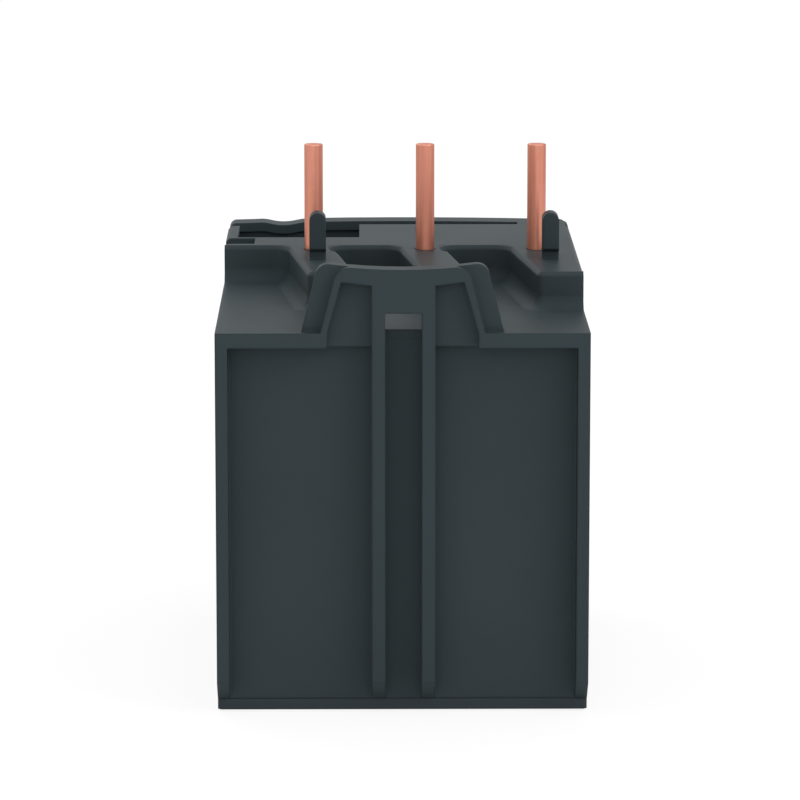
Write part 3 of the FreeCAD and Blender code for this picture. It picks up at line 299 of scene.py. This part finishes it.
def drawn_group():
    """Drawn or rolled metal: streaks along one axis, slow tarnish and softened edges."""
    tree, given, made = make_group(
        "drawn_surface",
        [
            ("Colour", "NodeSocketColor", (0.8, 0.4, 0.3, 1.0)),
            ("Tarnish", "NodeSocketColor", (0.5, 0.2, 0.1, 1.0)),
            ("Edge Radius", "NodeSocketFloat", 0.00012),
            ("Roughness", "NodeSocketFloat", 0.3),
            ("Streaks", "NodeSocketVector", (2500.0, 2500.0, 60.0)),
        ],
        SURFACE_OUTPUTS,
    )
    place = tree.nodes.new("ShaderNodeTexCoord").outputs["Object"]
    stretch = tree.nodes.new("ShaderNodeVectorMath")
    stretch.operation = "MULTIPLY"
    tree.links.new(place, stretch.inputs[0])
    tree.links.new(given.outputs["Streaks"], stretch.inputs[1])
    streak = noise(tree, stretch.outputs["Vector"], scale=1.0, detail=4.0)
    cloud = noise(tree, place, scale=220.0, detail=4.0)
    stain = spread(tree, cloud, (0.45, 0.8), (0.0, 0.3))
    drag = spread(tree, streak, (0.4, 0.65), (0.0, 0.4))
    marks = combine(tree, "ADD", stain, drag)
    coloured = blend_colours(tree, marks, given.outputs["Colour"], given.outputs["Tarnish"])

    gloss = spread(tree, streak, FULL_RANGE, (-0.08, 0.08))
    roughness = combine(tree, "ADD", given.outputs["Roughness"], gloss)
    soft = rounded_normal(tree, given.outputs["Edge Radius"], samples=4)
    tree.links.new(coloured, made.inputs["Colour"])
    tree.links.new(roughness, made.inputs["Roughness"])
    tree.links.new(streak, made.inputs["Height"])
    tree.links.new(soft, made.inputs["Normal"])
    return tree


moulded = moulding_group()
drawn = drawn_group()

# Materials. Colours are linear, edge radii in millimetres, bumps in metres
WORN_GAIN = 1.6
WORN_LIFT = 0.03
STREAKS_UPRIGHT = (2500.0, 2500.0, 60.0)
STREAKS_REARWARD = (2500.0, 60.0, 2500.0)


def dress(name, effect_group, values, bump):
    """A material whose surface comes from one of the shared effects."""
    material = bpy.data.materials.new(name)
    material.use_nodes = True
    tree = material.node_tree
    shader = tree.nodes["Principled BSDF"]
    effect = tree.nodes.new("ShaderNodeGroup")
    effect.node_tree = effect_group
    for label, value in values.items():
        effect.inputs[label].default_value = value
    relief = tree.nodes.new("ShaderNodeBump")
    relief.inputs["Strength"].default_value = 1.0
    relief.inputs["Distance"].default_value = bump
    tree.links.new(effect.outputs["Colour"], shader.inputs["Base Color"])
    tree.links.new(effect.outputs["Roughness"], shader.inputs["Roughness"])
    tree.links.new(effect.outputs["Height"], relief.inputs["Height"])
    tree.links.new(effect.outputs["Normal"], relief.inputs["Normal"])
    tree.links.new(relief.outputs["Normal"], shader.inputs["Normal"])
    return material, shader


def plastic(name, colour, roughness=0.45, wear=0.25, shine=0.4, edge=0.2, bump=0.00001):
    worn = [min(1.0, channel * WORN_GAIN + WORN_LIFT) for channel in colour]
    values = {
        "Colour": (*colour, 1.0),
        "Worn Colour": (*worn, 1.0),
        "Edge Wear": wear,
        "Edge Radius": edge * MM,
        "Roughness": roughness,
    }
    material, shader = dress(name, moulded, values, bump)
    shader.inputs["Specular IOR Level"].default_value = shine
    return material


def housing(name, colour, edge=0.42):
    """The housing's blue grey mouldings, with a low shine and softly rounded edges."""
    return plastic(name, colour, wear=0.12, shine=0.03, edge=edge, bump=0.000003)


def metal(name, colour, tarnish, roughness=0.3, streaks=STREAKS_UPRIGHT, rim=1.0):
    values = {
        "Colour": (*colour, 1.0),
        "Tarnish": (*tarnish, 1.0),
        "Roughness": roughness,
        "Streaks": streaks,
    }
    material, shader = dress(name, drawn, values, bump=0.000004)
    shader.inputs["Metallic"].default_value = 1.0
    shader.inputs["Specular Tint"].default_value = (rim, rim, rim, 1.0)
    return material


def clear_plastic(name):
    material = bpy.data.materials.new(name)
    material.use_nodes = True
    tree = material.node_tree
    shader = tree.nodes["Principled BSDF"]
    shader.inputs["Base Color"].default_value = (0.94, 0.96, 0.97, 1.0)
    shader.inputs["Transmission Weight"].default_value = 1.0
    shader.inputs["IOR"].default_value = 1.49
    place = tree.nodes.new("ShaderNodeTexCoord").outputs["Object"]
    haze = spread(tree, noise(tree, place, scale=120.0, detail=2.0), FULL_RANGE, (0.0, 0.02))
    tree.links.new(haze, shader.inputs["Roughness"])
    return material


finishes = {
    "housing_plastic": housing("housing_plastic", (0.0275, 0.0372, 0.0412)),
    "cover_plastic": housing("cover_plastic", (0.0290, 0.0368, 0.0420)),
    "block_plastic": housing("block_plastic", (0.0270, 0.0365, 0.0405)),
    "panel_plastic": housing("panel_plastic", (0.0275, 0.0372, 0.0412), edge=0.2),
    "insulating_plastic": plastic("insulating_plastic", (0.012, 0.012, 0.013), roughness=0.6),
    "clear_plastic": clear_plastic("clear_plastic"),
    "dial_plastic": plastic("dial_plastic", (0.62, 0.62, 0.58), roughness=0.4),
    "selector_plastic": plastic("selector_plastic", (0.02, 0.11, 0.36), roughness=0.4),
    "red_plastic": plastic("red_plastic", (0.5, 0.02, 0.015), roughness=0.3),
    "blue_plastic": plastic("blue_plastic", (0.015, 0.08, 0.4), roughness=0.3),
    "test_plastic": plastic("test_plastic", (0.5, 0.5, 0.48), roughness=0.4),
    "spring_steel": metal("spring_steel", (0.6, 0.6, 0.6), (0.4, 0.4, 0.38)),
    "slide_steel": metal("slide_steel", (0.62, 0.62, 0.6), (0.45, 0.44, 0.4)),
    "lever_bimetal": metal("lever_bimetal", (0.56, 0.54, 0.5), (0.4, 0.36, 0.3)),
    "slider_plastic": plastic("slider_plastic", (0.6, 0.56, 0.44), roughness=0.5),
    "rocker_plastic": plastic("rocker_plastic", (0.56, 0.53, 0.43), roughness=0.5),
    "flag_plastic": plastic("flag_plastic", (0.8, 0.4, 0.02), roughness=0.4),
    "carriage_plastic": plastic("carriage_plastic", (0.12, 0.025, 0.012), roughness=0.5),
    "contact_brass": metal("contact_brass", (0.78, 0.6, 0.28), (0.5, 0.36, 0.16)),
    "pin_copper": metal(
        "pin_copper", (0.66, 0.275, 0.195), (0.47, 0.17, 0.11), roughness=0.42, rim=0.7
    ),
    "strap_copper": metal(
        "strap_copper", (0.72, 0.33, 0.22), (0.5, 0.2, 0.12), streaks=STREAKS_REARWARD
    ),
    "bar_copper": metal("bar_copper", (0.72, 0.33, 0.22), (0.5, 0.2, 0.12)),
    "bimetal_strip": metal("bimetal_strip", (0.52, 0.49, 0.44), (0.4, 0.34, 0.26)),
    "heater_wound": metal("heater_wound", (0.5, 0.46, 0.4), (0.3, 0.25, 0.2), roughness=0.4),
    "cage_steel": metal("cage_steel", (0.62, 0.62, 0.6), (0.5, 0.47, 0.4)),
    "screw_steel": metal("screw_steel", (0.62, 0.62, 0.6), (0.5, 0.47, 0.4)),
}

# Making pieces. The named lengths from here on are in millimetres
PIECE_MERGE = 0.001
SHARP_ANGLE = 30
BAR_SOFTENING = 0.3


def keep_piece(form, name, body, slot, smooth=False):
    """Turns a finished form into a piece that rides on a body."""
    bmesh.ops.remove_doubles(form, verts=form.verts, dist=PIECE_MERGE * MM)
    bmesh.ops.recalc_face_normals(form, faces=form.faces)
    for face in form.faces:
        face.smooth = smooth
    mesh = bpy.data.meshes.new(name)
    form.to_mesh(mesh)
    form.free()
    if smooth:
        mesh.set_sharp_from_angle(angle=math.radians(SHARP_ANGLE))
    mesh.materials.append(finishes[slot])
    piece = bpy.data.objects.new(name, mesh)
    scene.collection.objects.link(piece)
    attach(piece, body)
    return piece


def soften(form, edges, width, segments=2):
    bmesh.ops.bevel(
        form,
        geom=edges,
        offset=width,
        offset_type="OFFSET",
        segments=segments,
        profile=0.5,
        affect="EDGES",
        material=-1,
    )


def bar(form, size, turn, place):
    """A bevelled bar added to a form."""
    matrix = Matrix.Translation(place) @ turn @ Matrix.Diagonal((*size, 1.0))
    made = bmesh.ops.create_cube(form, size=1.0, matrix=matrix)
    edges = {edge for vertex in made["verts"] for edge in vertex.link_edges}
    soften(form, list(edges), min(size) * BAR_SOFTENING)


def centre_and_radius(node):
    low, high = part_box(node)
    return (Vector(low) + Vector(high)) / 2, (high[0] - low[0]) / 2


# The window under the hump, between the ribs: the corners of the box that is cut away
WINDOW_LOW = (-2.3, 31.98, 45.8)
WINDOW_HIGH = (2.1, 36.0, 49.3)
HOUSING_MERGE = 0.0002
LEVEL_TOLERANCE = 0.01

# The hook posts, whose arched tops grow in steps from a level cut
HOOK_XS = (10.43, -18.87)
HOOK_HALF_WIDTH = 1.025
HOOK_FRONT_Y = 2.5
HOOK_REAR_Y = 6.0
HOOK_TOP = 57.45
HOOK_STEPS = 7
HOOK_ARCH_ANGLE = 84.0
HOOK_NOSE_LENGTH = 1.5
HOOK_NOSE_SLANT = 0.8
HOOK_CUT_HALF_WIDTH = 1.2
HOOK_CUT_MARGIN = 0.2
HOOK_CUT_HEIGHT = 2.0


def cut_box(piece, low, high):
    """Cuts a box, given by its corners in millimetres, out of a piece."""
    form = bmesh.new()
    middle = (Vector(low) + Vector(high)) / 2 * MM
    size = (Vector(high) - Vector(low)) * MM
    matrix = Matrix.Translation(middle) @ Matrix.Diagonal((*size, 1.0))
    bmesh.ops.create_cube(form, size=1.0, matrix=matrix)
    mesh = bpy.data.meshes.new("cutter")
    form.to_mesh(mesh)
    form.free()
    cutter = bpy.data.objects.new("cutter", mesh)
    scene.collection.objects.link(cutter)
    cut = piece.modifiers.new("cut", "BOOLEAN")
    cut.operation = "DIFFERENCE"
    cut.solver = "EXACT"
    cut.object = cutter
    shaped = piece.evaluated_get(bpy.context.evaluated_depsgraph_get())
    plain = piece.data
    piece.data = bpy.data.meshes.new_from_object(shaped)
    piece.modifiers.clear()
    bpy.data.objects.remove(cutter)
    bpy.data.meshes.remove(mesh)
    bpy.data.meshes.remove(plain)


def round_hook(piece, x):
    """Cuts a hook post off level and grows a round arch on it, with its front set back."""
    spring_line = HOOK_TOP - HOOK_HALF_WIDTH
    cut_box(
        piece,
        (x - HOOK_CUT_HALF_WIDTH, HOOK_FRONT_Y - HOOK_CUT_MARGIN, spring_line),
        (x + HOOK_CUT_HALF_WIDTH, HOOK_REAR_Y + HOOK_CUT_MARGIN, spring_line + HOOK_CUT_HEIGHT),
    )
    form = bmesh.new()
    form.from_mesh(piece.data)
    top = [
        face for face in form.faces
        if abs(face.calc_center_median().z - spring_line * MM) < LEVEL_TOLERANCE * MM
        and abs(face.calc_center_median().x - x * MM) < HOOK_HALF_WIDTH * MM
        and HOOK_FRONT_Y * MM < face.calc_center_median().y < HOOK_REAR_Y * MM
    ]
    turn = math.radians(HOOK_ARCH_ANGLE) / HOOK_STEPS
    for n in range(HOOK_STEPS):
        grown = bmesh.ops.extrude_face_region(form, geom=top)["geom"]
        covered = [face for face in top if face.is_valid]
        bmesh.ops.delete(form, geom=covered, context="FACES_ONLY")
        top = [part for part in grown if isinstance(part, bmesh.types.BMFace)]
        shrink = math.cos(turn * (n + 1)) / math.cos(turn * n)
        rise = HOOK_HALF_WIDTH * (math.sin(turn * (n + 1)) - math.sin(turn * n))
        for vertex in (part for part in grown if isinstance(part, bmesh.types.BMVert)):
            vertex.co.x = x * MM + (vertex.co.x - x * MM) * shrink
            vertex.co.z += rise * MM
            if vertex.co.y < (HOOK_FRONT_Y + HOOK_NOSE_LENGTH) * MM:
                vertex.co.y += rise * HOOK_NOSE_SLANT * MM
    form.to_mesh(piece.data)
    form.free()


def open_window():
    """The housing with its window open down to the shelf, and with round hook tops."""
    form = bmesh.new()
    form.from_mesh(nodes["rear_housing"].data)
    bmesh.ops.remove_doubles(form, verts=form.verts, dist=HOUSING_MERGE * MM)
    mesh = bpy.data.meshes.new("housing_blank")
    form.to_mesh(mesh)
    form.free()
    blank = bpy.data.objects.new("housing_blank", mesh)
    scene.collection.objects.link(blank)
    cut_box(blank, WINDOW_LOW, WINDOW_HIGH)
    for x in HOOK_XS:
        round_hook(blank, x)
    form = bmesh.new()
    form.from_mesh(blank.data)
    bpy.data.objects.remove(blank)
    piece = keep_piece(form, "windowed_housing", "housing", "housing_plastic")
    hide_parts("rear_housing")


# The rear wall of the deck and its three pin blocks
HALF_WIDTH = 22.5
SIDE_INSET = 0.01
SHELF_Z = 46.9
DECK_RISE = 4.6
PIN_XS = (11.0, -3.2, -17.4)
POCKET_Y = -6.7
POCKET_ROUND = 2.5
BLOCK_REAR_Y = 16.4
BLOCK_ROUND = 0.8
LEDGE_ROUND = 0.5

# Corners of a block, across from its pin, on the left and right as seen from the rear.
# A ledge stands at two corners, each with its place along the block too
LEFT_AT_POCKET = 3.5
LEFT_AT_REAR = 0.55
RIGHT_AT_REAR = -5.45
RIGHT_AT_LEDGE = ((-3.297, -0.75), (-2.547, -1.5))
RIGHT_AT_POCKET = -1.95

# The cove at the foot of the blocks, with a skin that lies over the solid's walls
COVE_RADIUS = 1.9
COVE_STEPS = 10
CORNER_STEPS = 8
COVE_ROOT = -0.1
COVE_INSIDE = -1.0
SKIN = 0.02
SKIN_BEVEL = 0.45
COVE_MERGE = 0.0005


def block_walls():
    """Corners of the blocks' walls in plan, each with its radius."""
    corners = [(HALF_WIDTH - SIDE_INSET, POCKET_Y, 0)]
    for x in PIN_XS:
        corners.append((x + LEFT_AT_POCKET, POCKET_Y, POCKET_ROUND))
        corners.append((x + LEFT_AT_REAR, BLOCK_REAR_Y, BLOCK_ROUND))
        if x != PIN_XS[-1]:
            corners.append((x + RIGHT_AT_REAR, BLOCK_REAR_Y, BLOCK_ROUND))
            corners += [(x + across, y, LEDGE_ROUND) for across, y in RIGHT_AT_LEDGE]
            corners.append((x + RIGHT_AT_POCKET, POCKET_Y, POCKET_ROUND))
    corners.append((SIDE_INSET - HALF_WIDTH, BLOCK_REAR_Y, 0))
    return corners


def rounded_walk(corners, steps):
    """Walks a line with rounded corners and gives each stop with its sideways direction."""
    stops = []
    ends = [Vector(corner[:2]) for corner in corners]
    heading = [(b - a).normalized() for a, b in zip(ends, ends[1:])]
    sideways = [Vector((way.y, -way.x)) for way in heading]
    stops.append((ends[0], sideways[0]))
    for n in range(1, len(ends) - 1):
        before, after = heading[n - 1], heading[n]
        turn = math.atan2(before.x * after.y - before.y * after.x, before.dot(after))
        inward = -math.copysign(1.0, turn)
        radius = corners[n][2]
        start = ends[n] - before * radius * math.tan(abs(turn) / 2)
        centre = start + sideways[n - 1] * radius * inward
        for k in range(steps + 1):
            out = sideways[n - 1].copy()
            out.rotate(Matrix.Rotation(turn * k / steps, 2))
            stops.append((centre - out * radius * inward, out))
    stops.append((ends[-1], sideways[-1]))
    return stops


def sweep(form, stops, section, level):
    """Sheet swept along a walk, closed round its section and at both ends."""
    bmesh.ops.create_grid(form, x_segments=len(stops) - 1, y_segments=len(section), size=0.5)
    low = min(vertex.co.x for vertex in form.verts)
    span = -2 * low
    for vertex in form.verts:
        along = round((vertex.co.x - low) / span * (len(stops) - 1))
        around = round((vertex.co.y - low) / span * len(section)) % len(section)
        stop, out = stops[along]
        reach, height = section[around]
        place = stop + out * reach
        vertex.co = (place.x * MM, place.y * MM, (level + height) * MM)
    bmesh.ops.remove_doubles(form, verts=form.verts, dist=COVE_MERGE * MM)
    rims = [edge for edge in form.edges if edge.is_boundary]
    bmesh.ops.holes_fill(form, edges=rims, sides=0)


def block_coves():
    """Round cove at the foot of the pin blocks, with the blocks' rounded inner corners."""
    section = [
        (COVE_INSIDE, COVE_ROOT),
        (COVE_INSIDE, DECK_RISE - SKIN),
        (-SKIN_BEVEL - SKIN, DECK_RISE - SKIN),
        (-SKIN, DECK_RISE - SKIN_BEVEL - SKIN),
    ]
    for k in range(COVE_STEPS + 1):
        angle = math.pi / 2 * k / COVE_STEPS
        section.append((
            COVE_RADIUS * (1 - math.cos(angle)) - SKIN * math.cos(angle),
            COVE_RADIUS * (1 - math.sin(angle)) - SKIN * math.sin(angle),
        ))
    section.append((COVE_RADIUS, COVE_ROOT))
    form = bmesh.new()
    sweep(form, rounded_walk(block_walls(), CORNER_STEPS), section, SHELF_Z)
    keep_piece(form, "block_coves", "housing", "housing_plastic", smooth=True)


# The line pins, round above the deck and square below it
PIN_RADIUS = 1.18
PIN_SEGMENTS = 64
PIN_TIP_BEVEL = 0.08
PIN_SHANK = 1.6


def line_pin(pole):
    """Round line pin with a crisp end, on its square shank."""
    node = "line_pin_" + pole
    low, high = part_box(node)
    centre = (Vector(low) + Vector(high)) / 2
    deck = (SHELF_Z + DECK_RISE) * MM
    form = bmesh.new()
    bmesh.ops.create_cone(
        form,
        cap_ends=True,
        segments=PIN_SEGMENTS,
        radius1=PIN_RADIUS * MM,
        radius2=PIN_RADIUS * MM,
        depth=high[2] - deck,
        matrix=Matrix.Translation((centre.x, centre.y, (high[2] + deck) / 2)),
    )
    tip = high[2] - LEVEL_TOLERANCE * MM
    rim = [edge for edge in form.edges if all(vertex.co.z > tip for vertex in edge.verts)]
    soften(form, rim, PIN_TIP_BEVEL * MM, 1)
    shank = Matrix.Translation((centre.x, centre.y, (low[2] + deck) / 2))
    size = (PIN_SHANK * MM, PIN_SHANK * MM, deck - low[2])
    bmesh.ops.create_cube(form, size=1.0, matrix=shank @ Matrix.Diagonal((*size, 1.0)))
    piece = keep_piece(form, "round_pin_" + pole, "housing", "pin_copper", smooth=True)
    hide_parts(node)


# The finger dip in the control panel's top wall
DIP_X = 15.3
DIP_REACH = 2.76
DIP_UNDERSIDE = 49.3
DIP_STRETCH = 1.22


def widen_dip():
    """The control panel with its finger dip as wide as in the photograph."""
    middle = DIP_X * MM
    form = bmesh.new()
    form.from_mesh(nodes["control_panel"].data)
    for vertex in form.verts:
        if abs(vertex.co.x - middle) < DIP_REACH * MM and vertex.co.z > DIP_UNDERSIDE * MM:
            vertex.co.x = middle + (vertex.co.x - middle) * DIP_STRETCH
    piece = keep_piece(form, "dipped_panel", "housing", "panel_plastic")
    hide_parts("control_panel")


# Small forms on the front panel, whose face is read in metres from the solids
panel_face = Vector(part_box("stop_spring")[1]).y
COLLAR_GAP = 0.3
COLLAR_REACH = 0.7
COLLAR_FLARE = 0.2
COLLAR_HEIGHT = 0.9
COLLAR_ROOT = 0.05
COLLAR_BEVEL = 0.12
COLLAR_STEPS = 64
MARK_HEIGHT = 0.3
MARK_STAND = 0.05
DIAL_MARKS = 11
LONG_MARK_EVERY = 5
DIAL_TURN = 270.0
DIAL_MARK_GAP = 0.5
DIAL_MARK_WIDTH = 0.28
LONG_MARK = 1.3
SHORT_MARK = 0.8
SELECTOR_MARKS = ((0.0, 0.9), (90.0, 0.5))
SELECTOR_MARK_GAP = 0.4
GRIP_RIDGES = 3
GRIP_PITCH = 0.9
GRIP_INSET = 1.2
GRIP_STAND = 0.1
GRIP_SIZE = (7.0, 0.4, 0.4)


def crest_rims(form, centre, crest):
    """The two circles that bound a collar's crest, told by one height and one radius."""
    rims = []
    for edge in form.edges:
        level = all(abs(vertex.co.y - crest) < 1e-7 for vertex in edge.verts)
        radii = {round((vertex.co - centre).xz.length * 1e6) for vertex in edge.verts}
        if level and len(radii) == 1:
            rims.append(edge)
    return rims


def button_collar(name, button):
    """Round collar that guards a push button, spun from its section."""
    centre, radius = centre_and_radius(button)
    inner = radius + COLLAR_GAP * MM
    outer = radius + COLLAR_REACH * MM
    crest = panel_face - COLLAR_HEIGHT * MM
    root = panel_face + COLLAR_ROOT * MM
    form = bmesh.new()
    section = [(inner, root), (inner, crest), (outer, crest), (outer + COLLAR_FLARE * MM, root)]
    corners = [form.verts.new((centre.x + out, y, centre.z)) for out, y in section]
    edges = [form.edges.new((corners[n], corners[(n + 1) % 4])) for n in range(4)]
    bmesh.ops.spin(
        form,
        geom=corners + edges,
        cent=centre,
        axis=(0, 1, 0),
        angle=2 * math.pi,
        steps=COLLAR_STEPS,
        use_merge=True,
    )
    soften(form, crest_rims(form, centre, crest), COLLAR_BEVEL * MM)
    keep_piece(form, name, "housing", "panel_plastic")


def return_spring(button):
    """Button's return spring, as a piece of its own on the housing, with a mesh of its own."""
    node = button + "_spring"
    form = bmesh.new()
    form.from_mesh(nodes[node].data)
    piece = keep_piece(form, button + "_coil", "housing", "spring_steel")
    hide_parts(node)
    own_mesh(piece)


def panel_mark(form, centre, angle, reach, size):
    """A raised mark that points away from a centre on the panel, at an angle and a reach."""
    turn = Matrix.Rotation(angle, 4, "Y")
    place = centre + turn @ Vector((reach, 0, 0))
    place.y = panel_face - MARK_STAND * MM
    bar(form, size, turn, place)


def dial_scale():
    """Raised marks round the setting dial, over the turn that it makes."""
    centre, radius = centre_and_radius("setting_dial")
    form = bmesh.new()
    for n in range(DIAL_MARKS):
        angle = math.radians(DIAL_TURN) * n / (DIAL_MARKS - 1)
        length = LONG_MARK * MM if n % LONG_MARK_EVERY == 0 else SHORT_MARK * MM
        reach = radius + DIAL_MARK_GAP * MM + length / 2
        panel_mark(form, centre, angle, reach, (length, MARK_HEIGHT * MM, DIAL_MARK_WIDTH * MM))
    keep_piece(form, "dial_scale", "housing", "dial_plastic")


def selector_marks():
    """Two marks that show the selector's end positions."""
    centre, radius = centre_and_radius("mode_selector")
    form = bmesh.new()
    for degrees, mark_length in SELECTOR_MARKS:
        length = mark_length * MM
        reach = radius + SELECTOR_MARK_GAP * MM + length / 2
        size = (length, MARK_HEIGHT * MM, MARK_HEIGHT * MM)
        panel_mark(form, centre, math.radians(degrees), reach, size)
    keep_piece(form, "selector_marks", "housing", "dial_plastic")


def cover_grip():
    """Finger ridges along the upper edge of the clear cover."""
    low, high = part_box("clear_cover")
    form = bmesh.new()
    size = [length * MM for length in GRIP_SIZE]
    for n in range(GRIP_RIDGES):
        level = high[2] - (GRIP_INSET + GRIP_PITCH * n) * MM
        place = Vector(((low[0] + high[0]) / 2, low[1] - GRIP_STAND * MM, level))
        bar(form, size, Matrix.Identity(4), place)
    keep_piece(form, "cover_grip", "clear_cover", "clear_plastic")


add_camera()
add_world()
add_floor()
for lamp in LAMPS:
    add_lamp(*lamp)

for row in record["subparts"]:
    for slot in nodes[row["node"]].material_slots:
        slot.material = finishes[row["material_slot"]]

for button in ("stop", "reset", "test"):
    button_collar(button + "_collar", button + "_button")
    return_spring(button)
dial_scale()
selector_marks()
cover_grip()
widen_dip()
block_coves()
for pole in ("a", "b", "c"):
    line_pin(pole)
open_window()
